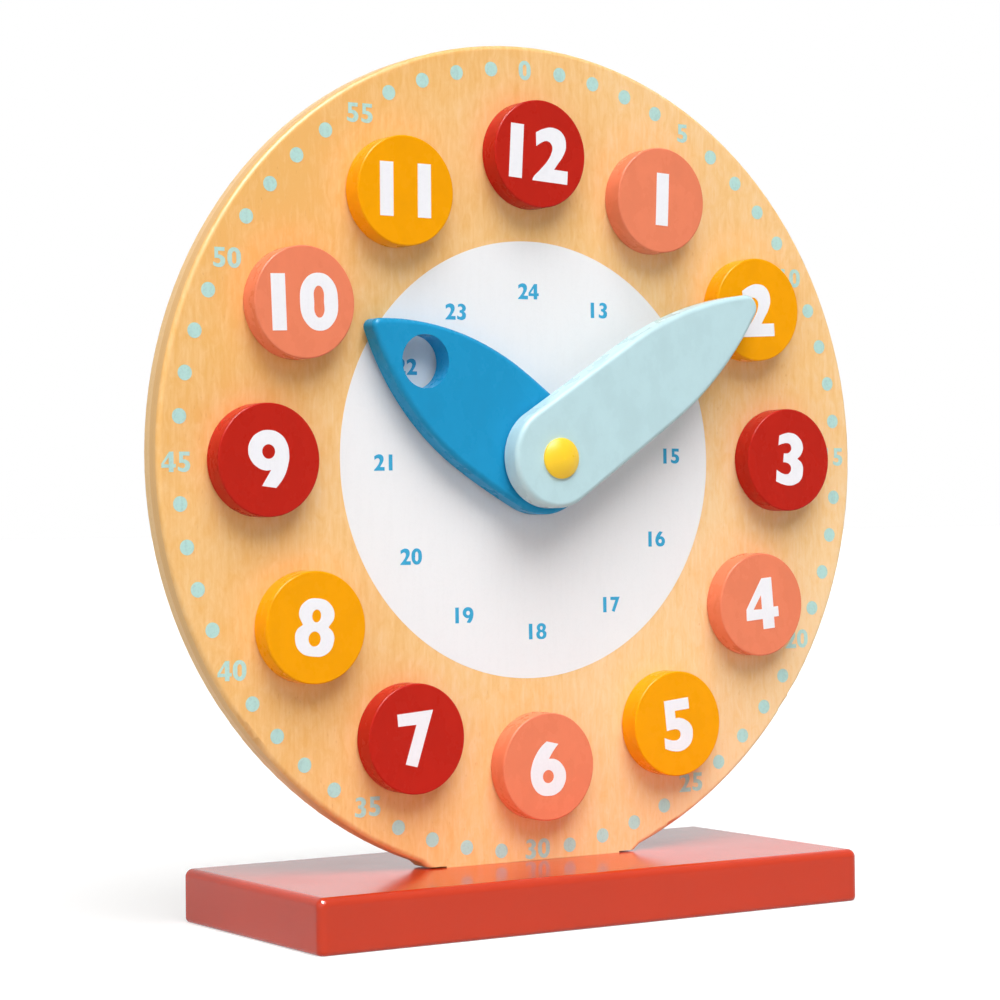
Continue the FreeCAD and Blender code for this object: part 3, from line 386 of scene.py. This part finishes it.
def birch_ply(wood):
    """Satin varnish over birch plywood: vertical grain on the faces, plies across the rim."""
    f = Finish("birch_ply")
    x, y, z = f.axes()
    broad = f.noise((14, 14, 9), detail=2)
    patch = f.noise((360, 360, 150), detail=5, roughness=0.66, distortion=0.8)
    streak = f.noise((1000, 300, 80), detail=4, roughness=0.68, distortion=0.5)
    grain = f.math("ADD", f.math("MULTIPLY", broad, 1.1), f.math("MULTIPLY", patch, 0.9))
    grain = f.math("ADD", grain, f.math("MULTIPLY", streak, 0.6))
    # Painted light: the veneer is drawn paler to the right, a painted sheen where the varnish
    # reflects the bright side, and paler downwards, a painted lift of the lower face's shade.
    grain = f.math("ADD", grain, f.math("MULTIPLY", x, 2.0))
    grain = f.math("SUBTRACT", grain, f.math("MULTIPLY", z, 1.3))
    grain = f.spread(grain, 0.74, 1.50)
    veneer = f.ramp(grain, [(0.0, rgba(wood.dark)), (0.5, rgba(wood.middle)),
                            (1.0, rgba(wood.light))])
    pore = f.spread(f.noise((1300, 300, 420), detail=1), 0.70, 0.80)
    where = f.spread(f.noise((60, 60, 25), detail=1, shift=(3, 0, 5)), 0.48, 0.66)
    veneer = f.mix(f.math("MULTIPLY", f.math("MULTIPLY", pore, where), 0.4), veneer,
                   rgba(wood.fleck))
    # Plies between the two face veneers, by depth in the board.
    wave = f.math("MULTIPLY", f.math("SUBTRACT", f.noise((40, 0, 40), detail=2), 0.5), 0.0005)
    depth = f.math("ADD", y, wave)
    level = f.spread(depth, DIAL_FRONT_Y * MM, DIAL_BACK_Y * MM)
    grains = {"long": rgba(wood.long_ply), "cross": rgba(wood.cross_ply)}
    glue = rgba(wood.glue)
    stops = []
    for which, start in PLIES:
        if start:
            stops.append((start - GLUE_LINE, glue))
        stops.append((start, grains[which]))
    core = f.ramp(level, stops, constant=True)
    fibre = f.noise((900, 2600, 900), detail=2, roughness=0.6)
    core = f.mix(f.spread(fibre, 0.35, 0.75, 0.0, 0.28), core, glue)
    # The face veneers are the first ply and the last.
    inside = f.math("MULTIPLY", f.math("GREATER_THAN", level, PLIES[1][1] - GLUE_LINE),
                    f.math("LESS_THAN", level, PLIES[-1][1] - GLUE_LINE))
    tint = f.mix(inside, veneer, core)
    rough = f.spread(patch, 0.3, 0.7, 0.36, 0.46)
    relief = f.bump(streak, 0.008, 0.5, below=f.bump(fibre, 0.01, 0.35))
    return f.surface(tint, rough, relief, Specular_IOR_Level=0.2)


def satin_paint(name, tint, roughness):
    """Satin paint over close-grained wood: slightly cloudy, with faint grain in its surface."""
    f = Finish(name)
    deep = rgba([part * 0.985 for part in tint])
    high = rgba([min(1.0, part * 1.01 + 0.004) for part in tint])
    cloud = f.noise((120, 120, 90), detail=4, roughness=0.6)
    paint = f.ramp(f.spread(cloud, 0.3, 0.7), [(0.0, deep), (0.5, rgba(tint)), (1.0, high)])
    grain = f.noise((700, 700, 120), detail=2)
    stipple = f.noise((2200, 2200, 2200), detail=1)
    rough = f.spread(cloud, 0.3, 0.7, roughness - 0.04, roughness + 0.05)
    normal = f.bump(stipple, 0.006, 0.6, below=f.bump(grain, 0.006, 0.5))
    return f.surface(paint, rough, normal, Specular_IOR_Level=0.09)


def gloss_lacquer(tint, roughness):
    """Sprayed gloss lacquer: deep colour under a clear coat with a slight orange peel."""
    f = Finish("red_lacquer")
    cloud = f.noise((30, 30, 30), detail=3)
    paint = f.ramp(f.spread(cloud, 0.3, 0.7), [
        (0.0, rgba([part * 0.975 for part in tint])), (1.0, rgba(tint))])
    peel = f.noise((420, 420, 420), detail=2, roughness=0.4)
    fine = f.noise((1900, 1900, 1900), detail=1)
    rough = f.spread(cloud, 0.3, 0.7, roughness - 0.02, roughness + 0.04)
    normal = f.bump(fine, 0.003, 0.5, below=f.bump(peel, 0.012, 0.5))
    return f.surface(paint, rough, normal, Specular_IOR_Level=0.35)


def ink(name, tint, roughness=0.55, cover=0.04):
    """Screen-printed ink, a little uneven where it lies on the grain."""
    f = Finish(name)
    streak = f.noise((900, 300, 90), detail=3, roughness=0.6)
    speck = f.noise((1500, 1500, 1500), detail=2)
    value = f.spread(f.math("ADD", streak, speck), 0.75, 1.25)
    paint = f.ramp(value, [(0.0, rgba([part * (1 - cover) for part in tint])),
                           (0.6, rgba(tint)), (1.0, rgba(tint))])
    normal = f.bump(streak, 0.006, 0.5)
    return f.surface(paint, f.spread(speck, 0.3, 0.7, roughness - 0.05, roughness + 0.05),
                     normal, Specular_IOR_Level=0.25)


def turned_metal(name, tint, roughness):
    """Metal turned in a lathe: fine rings round the clock's axis."""
    f = Finish(name)
    from_axis = f.put("ShaderNodeVectorMath", {0: f.place, 1: (0, 0, DIAL_CENTRE_Z * MM)},
                      operation="SUBTRACT").outputs[0]
    x, y, z = f.put("ShaderNodeSeparateXYZ", {"Vector": from_axis}).outputs
    radius = f.math("SQRT", f.math("ADD", f.math("MULTIPLY", x, x), f.math("MULTIPLY", z, z)))
    across = f.math("ADD", radius, y)
    rings = f.put("ShaderNodeTexNoise", {"W": across, "Scale": 9000.0, "Detail": 2.0},
                  noise_dimensions="1D").outputs["Fac"]
    blotch = f.noise((300, 300, 300), detail=2)
    metal = f.ramp(f.spread(f.math("ADD", rings, blotch), 0.7, 1.3), [
        (0.0, rgba([part * 0.86 for part in tint])), (1.0, rgba(tint))])
    rough = f.spread(blotch, 0.3, 0.7, roughness - 0.06, roughness + 0.08)
    return f.surface(metal, rough, f.bump(rings, 0.004, 0.5), Metallic=1.0)


def zinc_plate(name, tint, roughness):
    """Zinc-plated sheet or screws: cloudy, with fine rolling lines."""
    f = Finish(name)
    lines = f.noise((120, 4000, 4200), detail=2)
    cloud = f.noise((160, 160, 160), detail=4, roughness=0.65)
    value = f.spread(f.math("ADD", cloud, f.math("MULTIPLY", lines, 0.6)), 0.55, 1.05)
    metal = f.ramp(value, [(0.0, rgba([part * 0.80 for part in tint])), (1.0, rgba(tint))])
    rough = f.spread(cloud, 0.3, 0.7, roughness - 0.06, roughness + 0.10)
    return f.surface(metal, rough, f.bump(lines, 0.003, 0.5), Metallic=1.0)


def moulded(name, tint, roughness, grain_mm, depth_mm, glow=0.0):
    """Moulded plastic with the fine texture of its mould."""
    f = Finish(name)
    per_metre = 1.0 / (grain_mm * MM)
    pebble = f.noise((per_metre, per_metre, per_metre), detail=2)
    cloud = f.noise((60, 60, 60), detail=2)
    plastic = f.ramp(f.spread(cloud, 0.3, 0.7), [
        (0.0, rgba([part * 0.97 for part in tint])), (1.0, rgba(tint))])
    rough = f.spread(pebble, 0.3, 0.7, roughness - 0.05, roughness + 0.06)
    return f.surface(plastic, rough, f.bump(pebble, depth_mm, 0.6), Subsurface_Weight=glow,
                     Subsurface_Scale=0.001)


def bare_beech(wood):
    """Turned beech of the pegs: grain along the peg, with short dark rays."""
    f = Finish("bare_beech")
    streak = f.noise((1500, 90, 1500), detail=3, roughness=0.6)
    ray = f.spread(f.noise((1900, 500, 1900), detail=1), 0.62, 0.74)
    peg = f.ramp(f.spread(streak, 0.3, 0.7), [(0.0, rgba(wood.peg_dark)),
                                              (1.0, rgba(wood.peg_light))])
    peg = f.mix(f.math("MULTIPLY", ray, 0.5), peg, rgba(wood.peg_dark))
    return f.surface(peg, f.spread(streak, 0.3, 0.7, 0.58, 0.68), f.bump(streak, 0.02, 0.6))


# Pieces.

def dress(material, *nodes):
    """Gives CAD nodes their finish."""
    for name in nodes:
        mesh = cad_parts[name].data
        mesh.materials.clear()
        mesh.materials.append(material)


def moved(loop, right, up, size=1.0):
    """A closed outline, resized and then moved in its plane."""
    return [(point[0] * size + right, point[1] * size + up, *point[2:]) for point in loop]


def ring(radius, right=0.0, up=0.0):
    """A round outline."""
    return [(right, up + radius), (right + radius, up), (right, up - radius),
            (right - radius, up)]


def glyph_middle(digit):
    """The middle of a digit's outline."""
    across = [point[0] for point in GLYPHS[digit][0]]
    upwards = [point[1] for point in GLYPHS[digit][0]]
    return (min(across) + max(across)) / 2, (min(upwards) + max(upwards)) / 2


def numeral(text, right, up, height):
    """The outlines of a small numeral about its middle, its digits evenly spaced."""
    size = height / GLYPH_HEIGHT
    loops = []
    for place, digit in enumerate(text):
        along = (place - (len(text) - 1) / 2) * DIGIT_PITCH_SHARE * height
        across, upwards = glyph_middle(digit)
        for loop in GLYPHS[digit]:
            loops.append(moved(loop, right + along - across * size, up - upwards * size, size))
    return loops


def film(name, loops, place, thickness, material, body, thinning=0.0, rounds=12):
    """A printed layer: outlines in mm, right and up from a point on the front of the clock."""
    curve = bpy.data.curves.new(name, "CURVE")
    curve.dimensions = "2D"
    curve.fill_mode = "BOTH"
    curve.resolution_u = rounds
    curve.extrude = thickness / 2
    curve.offset = -thinning
    for loop in loops:
        spline = curve.splines.new("BEZIER")
        spline.bezier_points.add(len(loop) - 1)
        for point, (right, up, *corner) in zip(spline.bezier_points, loop):
            point.co = (right, up, 0)
            point.handle_left_type = point.handle_right_type = (
                "VECTOR" if corner else "AUTO")
        spline.use_cyclic_u = True
    drawing = bpy.data.objects.new(name + "_drawing", curve)
    bpy.context.scene.collection.objects.link(drawing)
    bpy.context.view_layer.update()
    drawn = drawing.evaluated_get(bpy.context.evaluated_depsgraph_get())
    mesh = bpy.data.meshes.new_from_object(drawn)
    bpy.data.objects.remove(drawing)
    bpy.data.curves.remove(curve)
    mesh.name = name
    mesh.transform(place)
    mesh.materials.clear()
    mesh.materials.append(material)
    for polygon in mesh.polygons:
        polygon.use_smooth = False
    piece = bpy.data.objects.new(name, mesh)
    bpy.context.scene.collection.objects.link(piece)
    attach(piece, body)
    return piece


def on_front(point_mm, clockwise=0.0, proud=0.0):
    """From a drawing in mm, right and up, to a place on the clock that faces the front."""
    upright = Matrix.Rotation(math.radians(90), 4, "X")
    lean = Matrix.Rotation(clockwise, 4, "Y")
    spot = Matrix.Translation((Vector(point_mm) + Vector((0, -proud, 0))) * MM)
    return spot @ lean @ upright @ Matrix.Scale(MM, 4)


class ClockStep:
    """What the clock's operators share."""

    bl_options = {"REGISTER", "UNDO"}


class CLOCK_OT_dial(ClockStep, bpy.types.Operator):
    """Varnishes the plywood dial"""

    bl_idname = "clock.dial"
    bl_label = "Dial plate"

    def execute(self, context):
        dress(birch_ply(context.scene.clock_wood), "dial_plate")
        return {"FINISHED"}


class CLOCK_OT_dial_print(ClockStep, bpy.types.Operator):
    """Prints the white disc, the minute dots and both rings of small numerals"""

    bl_idname = "clock.dial_print"
    bl_label = "Dial print"

    def execute(self, context):
        look = context.scene.clock_print
        thickness = 2 * look.film
        place = on_front(DIAL_CENTRE, look.turn)
        on_disc = on_front(DIAL_CENTRE, look.turn, proud=look.film)
        film("print_disc", [ring(look.disc_radius), ring(look.disc_hole)], place, thickness,
             ink("disc_white", look.disc, 0.5, 0.008), "root", rounds=48)
        teal = ink("minute_teal", look.minute, 0.5, 0.05)
        dots = []
        for minute in range(60):
            if minute % 5:
                angle = math.radians(6 * minute)
                dots.append(ring(look.dot_radius, look.dot_circle * math.sin(angle),
                                 look.dot_circle * math.cos(angle)))
        film("print_minute_dots", dots, place, thickness, teal, "root")
        minutes = [loop for minute, spot in MINUTE_PLACES.items()
                   for loop in numeral(str(minute), *spot, look.minute_height)]
        film("print_minute_numerals", minutes, place, thickness, teal, "root",
             look.minute_thinning)
        late = [loop for hour, spot in LATE_HOUR_PLACES.items()
                for loop in numeral(str(hour), *spot, look.late_height)]
        film("print_late_hours", late, on_disc, thickness,
             ink("late_hour_blue", look.late_hour, 0.5, 0.03), "root", look.late_thinning)
        return {"FINISHED"}


class CLOCK_OT_blocks(ClockStep, bpy.types.Operator):
    """Paints the twelve hour blocks and prints their numerals"""

    bl_idname = "clock.blocks"
    bl_label = "Hour blocks"

    def execute(self, context):
        look, paint = context.scene.clock_print, context.scene.clock_paint
        paints = {name: satin_paint("paint_" + name, getattr(paint, name), paint.gloss)
                  for name in ("red", "coral", "amber")}
        white = ink("numeral_white", look.numeral, 0.5, 0.012)
        for hour in HOURS:
            paint_name, lean = BLOCKS[hour]
            node = f"hour_block_{hour:02d}"
            dress(paints[paint_name], node)
            low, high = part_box(node)
            front = Vector(((low.x + high.x) / 2, low.y, (low.z + high.z) / 2)) / MM
            loops = []
            for digit, *spot in BLOCK_DIGITS.get(hour, [(str(hour), 0, 0)]):
                loops += [moved(loop, *spot) for loop in GLYPHS[digit]]
            film(f"numeral_{hour:02d}", loops, on_front(front, math.radians(lean)),
                 2 * look.film, white, f"block_{hour:02d}")
        return {"FINISHED"}


class CLOCK_OT_pegs(ClockStep, bpy.types.Operator):
    """Gives the dowel pegs bare beech"""

    bl_idname = "clock.pegs"
    bl_label = "Dowel pegs"

    def execute(self, context):
        dress(bare_beech(context.scene.clock_wood),
              *[f"block_peg_{hour:02d}" for hour in HOURS])
        return {"FINISHED"}


class CLOCK_OT_hands(ClockStep, bpy.types.Operator):
    """Paints both hands"""

    bl_idname = "clock.hands"
    bl_label = "Hands"

    def execute(self, context):
        paint = context.scene.clock_paint
        dress(satin_paint("paint_hour_hand", paint.hour_hand, paint.gloss), "hour_hand")
        dress(satin_paint("paint_minute_hand", paint.minute_hand, paint.gloss), "minute_hand")
        return {"FINISHED"}


class CLOCK_OT_cap(ClockStep, bpy.types.Operator):
    """Gives the centre cap its gloss yellow"""

    bl_idname = "clock.cap"
    bl_label = "Centre cap"

    def execute(self, context):
        paint = context.scene.clock_paint
        dress(moulded("cap_yellow", paint.cap, 0.32, 1.2, 0.004), "centre_cap")
        return {"FINISHED"}


class CLOCK_OT_base(ClockStep, bpy.types.Operator):
    """Lacquers the base and plates its two screws"""

    bl_idname = "clock.base"
    bl_label = "Base"

    def execute(self, context):
        paint, hardware = context.scene.clock_paint, context.scene.clock_hardware
        dress(gloss_lacquer(paint.base, paint.lacquer_gloss), "base_block")
        dress(zinc_plate("zinc_screws", hardware.zinc, 0.34), "base_screws", "cover_screws")
        return {"FINISHED"}


class CLOCK_OT_axis(ClockStep, bpy.types.Operator):
    """Gives the arbor, hour tube, bush and washer their metal and nylon"""

    bl_idname = "clock.axis"
    bl_label = "Hand axis"

    def execute(self, context):
        hardware = context.scene.clock_hardware
        dress(turned_metal("turned_brass", hardware.brass, 0.30), "dial_bush", "hour_tube")
        dress(turned_metal("turned_steel", hardware.steel, 0.26), "minute_arbor",
              "intermediate_stud")
        dress(moulded("washer_nylon", hardware.nylon, 0.5, 0.6, 0.01, 0.1), "hand_washer")
        return {"FINISHED"}


class CLOCK_OT_gears(ClockStep, bpy.types.Operator):
    """Gives the gears their nylon"""

    bl_idname = "clock.gears"
    bl_label = "Gear train"

    def execute(self, context):
        nylon = moulded("gear_nylon", context.scene.clock_hardware.nylon, 0.48, 0.5, 0.01, 0.15)
        dress(nylon, "minute_pinion", "hour_wheel", "intermediate_wheel",
              "intermediate_pinion")
        return {"FINISHED"}


class CLOCK_OT_gear_case(ClockStep, bpy.types.Operator):
    """Gives the gear plate its zinc and the cover its moulded plastic"""

    bl_idname = "clock.gear_case"
    bl_label = "Gear case"

    def execute(self, context):
        hardware = context.scene.clock_hardware
        dress(zinc_plate("zinc_sheet", hardware.zinc, 0.38), "gear_plate")
        dress(moulded("cover_plastic", hardware.cover, 0.52, 0.45, 0.03), "gear_cover")
        return {"FINISHED"}


class CLOCK_OT_stage(ClockStep, bpy.types.Operator):
    """Sets up the floor, the soft light, the white background and the camera"""

    bl_idname = "clock.stage"
    bl_label = "Stage"

    def execute(self, context):
        stage = context.scene.clock_stage
        set_floor(stage)
        set_world(context.scene, stage)
        for name, (towards, softness) in LIGHTS.items():
            lamp = set_sun(name, getattr(stage, name), towards, softness)
            # The glint shows only as gloss.
            lamp.visible_diffuse = name != "glint"
        set_camera(context.scene, stage)
        context.scene.view_settings.view_transform = "Standard"
        return {"FINISHED"}


def seen_directly(tree):
    """1 for rays that show the background: from the camera, and off or through the object."""
    rays = tree.nodes.new("ShaderNodeLightPath").outputs
    total = rays["Is Camera Ray"]
    for name in ("Is Glossy Ray", "Is Transmission Ray"):
        step = tree.nodes.new("ShaderNodeMath")
        step.operation = "MAXIMUM"
        tree.links.new(total, step.inputs[0])
        tree.links.new(rays[name], step.inputs[1])
        total = step.outputs[0]
    return total


def set_floor(stage):
    """A plain pale floor that keeps the clock's shadow."""
    corners = [(FLOOR_HALF * x, FLOOR_HALF * y, 0) for x, y in ((-1, -1), (1, -1), (1, 1), (-1, 1))]
    mesh = bpy.data.meshes.new("floor")
    mesh.from_pydata(corners, [], [(0, 1, 2, 3)])
    floor = bpy.data.objects.new("floor", mesh)
    floor.location.z = -FLOOR_DROP
    bpy.context.scene.collection.objects.link(floor)
    material = bpy.data.materials.new("floor_white")
    material.use_nodes = True
    tree = material.node_tree
    tree.nodes.clear()
    diffuse = tree.nodes.new("ShaderNodeBsdfDiffuse")
    diffuse.inputs["Color"].default_value = (stage.floor, stage.floor, stage.floor, 1)
    glow = tree.nodes.new("ShaderNodeEmission")
    lift = tree.nodes.new("ShaderNodeMath")
    lift.operation = "MULTIPLY"
    lift.inputs[1].default_value = stage.floor_lift
    tree.links.new(seen_directly(tree), lift.inputs[0])
    tree.links.new(lift.outputs[0], glow.inputs["Strength"])
    both = tree.nodes.new("ShaderNodeAddShader")
    end = tree.nodes.new("ShaderNodeOutputMaterial")
    tree.links.new(diffuse.outputs[0], both.inputs[0])
    tree.links.new(glow.outputs[0], both.inputs[1])
    tree.links.new(both.outputs[0], end.inputs["Surface"])
    mesh.materials.append(material)


def set_world(scene, stage):
    """White where it is seen, and a plainer level where it lights."""
    world = bpy.data.worlds.new("studio")
    scene.world = world
    world.use_nodes = True
    tree = world.node_tree
    tree.nodes.clear()
    light = tree.nodes.new("ShaderNodeBackground")
    light.inputs["Color"].default_value = (1, 1, 1, 1)
    light.inputs["Strength"].default_value = stage.ambient
    white = tree.nodes.new("ShaderNodeBackground")
    white.inputs["Color"].default_value = (1, 1, 1, 1)
    white.inputs["Strength"].default_value = 1.0
    choice = tree.nodes.new("ShaderNodeMixShader")
    end = tree.nodes.new("ShaderNodeOutputWorld")
    tree.links.new(seen_directly(tree), choice.inputs[0])
    tree.links.new(light.outputs[0], choice.inputs[1])
    tree.links.new(white.outputs[0], choice.inputs[2])
    tree.links.new(choice.outputs[0], end.inputs["Surface"])


def set_sun(name, strength, towards, softness_deg):
    """A far soft light that shines from the given side."""
    lamp = bpy.data.lights.new(name, "SUN")
    lamp.energy = strength
    lamp.angle = math.radians(softness_deg)
    holder = bpy.data.objects.new(name, lamp)
    holder.rotation_euler = Vector(towards).to_track_quat("Z", "Y").to_euler()
    bpy.context.scene.collection.objects.link(holder)
    return holder


def set_camera(scene, stage):
    """The photograph's camera, by where it stands and what it aims at."""
    side, lift, lean = stage.azimuth, stage.elevation, stage.roll
    back = Vector((math.sin(side) * math.cos(lift), -math.cos(side) * math.cos(lift),
                   math.sin(lift)))
    level_right = (-back).cross(Vector((0, 0, 1))).normalized()
    level_up = level_right.cross(-back)
    right = math.cos(lean) * level_right + math.sin(lean) * level_up
    up = math.cos(lean) * level_up - math.sin(lean) * level_right
    aim = DIAL_CENTRE + Vector((stage.aim_right, 0, stage.aim_up))
    spot = (aim + back * stage.distance) * MM
    data = bpy.data.cameras.new("camera")
    data.sensor_fit = "HORIZONTAL"
    data.sensor_width = SENSOR_WIDTH
    data.lens = stage.lens
    data.clip_start = 0.01
    data.clip_end = 100.0
    camera = bpy.data.objects.new("camera", data)
    camera.matrix_world = Matrix((
        (right.x, up.x, back.x, spot.x), (right.y, up.y, back.y, spot.y),
        (right.z, up.z, back.z, spot.z), (0, 0, 0, 1)))
    scene.collection.objects.link(camera)
    scene.camera = camera


GROUPS = {
    "clock_print": ClockPrint, "clock_wood": ClockWood, "clock_paint": ClockPaint,
    "clock_hardware": ClockHardware, "clock_stage": ClockStage,
}
STEPS = (
    CLOCK_OT_base, CLOCK_OT_dial, CLOCK_OT_dial_print, CLOCK_OT_blocks, CLOCK_OT_pegs,
    CLOCK_OT_hands, CLOCK_OT_cap, CLOCK_OT_axis, CLOCK_OT_gears, CLOCK_OT_gear_case,
    CLOCK_OT_stage,
)


class CLOCK_PT_sidebar(bpy.types.Panel):
    """Lists the clock's steps and what they may change"""

    bl_idname = "CLOCK_PT_sidebar"
    bl_label = "Teaching clock"
    bl_space_type = "VIEW_3D"
    bl_region_type = "UI"
    bl_category = "Clock"

    def draw(self, context):
        for step in STEPS:
            self.layout.operator(step.bl_idname)
        for group_name, group in GROUPS.items():
            box = self.layout.box()
            box.label(text=group.__doc__)
            for name in group.__annotations__:
                box.prop(getattr(context.scene, group_name), name)


def register():
    for group_name, group in GROUPS.items():
        bpy.utils.register_class(group)
        setattr(bpy.types.Scene, group_name, bpy.props.PointerProperty(type=group))
    for step in (*STEPS, CLOCK_PT_sidebar):
        bpy.utils.register_class(step)


def unregister():
    for step in reversed((*STEPS, CLOCK_PT_sidebar)):
        bpy.utils.unregister_class(step)
    for group_name, group in GROUPS.items():
        delattr(bpy.types.Scene, group_name)
        bpy.utils.unregister_class(group)


def main():
    """Dresses the clock, step by step."""
    register()
    for step in STEPS:
        group, name = step.bl_idname.split(".")
        getattr(getattr(bpy.ops, group), name)()
    bpy.context.view_layer.update()


if __name__ == "__main__":
    main()
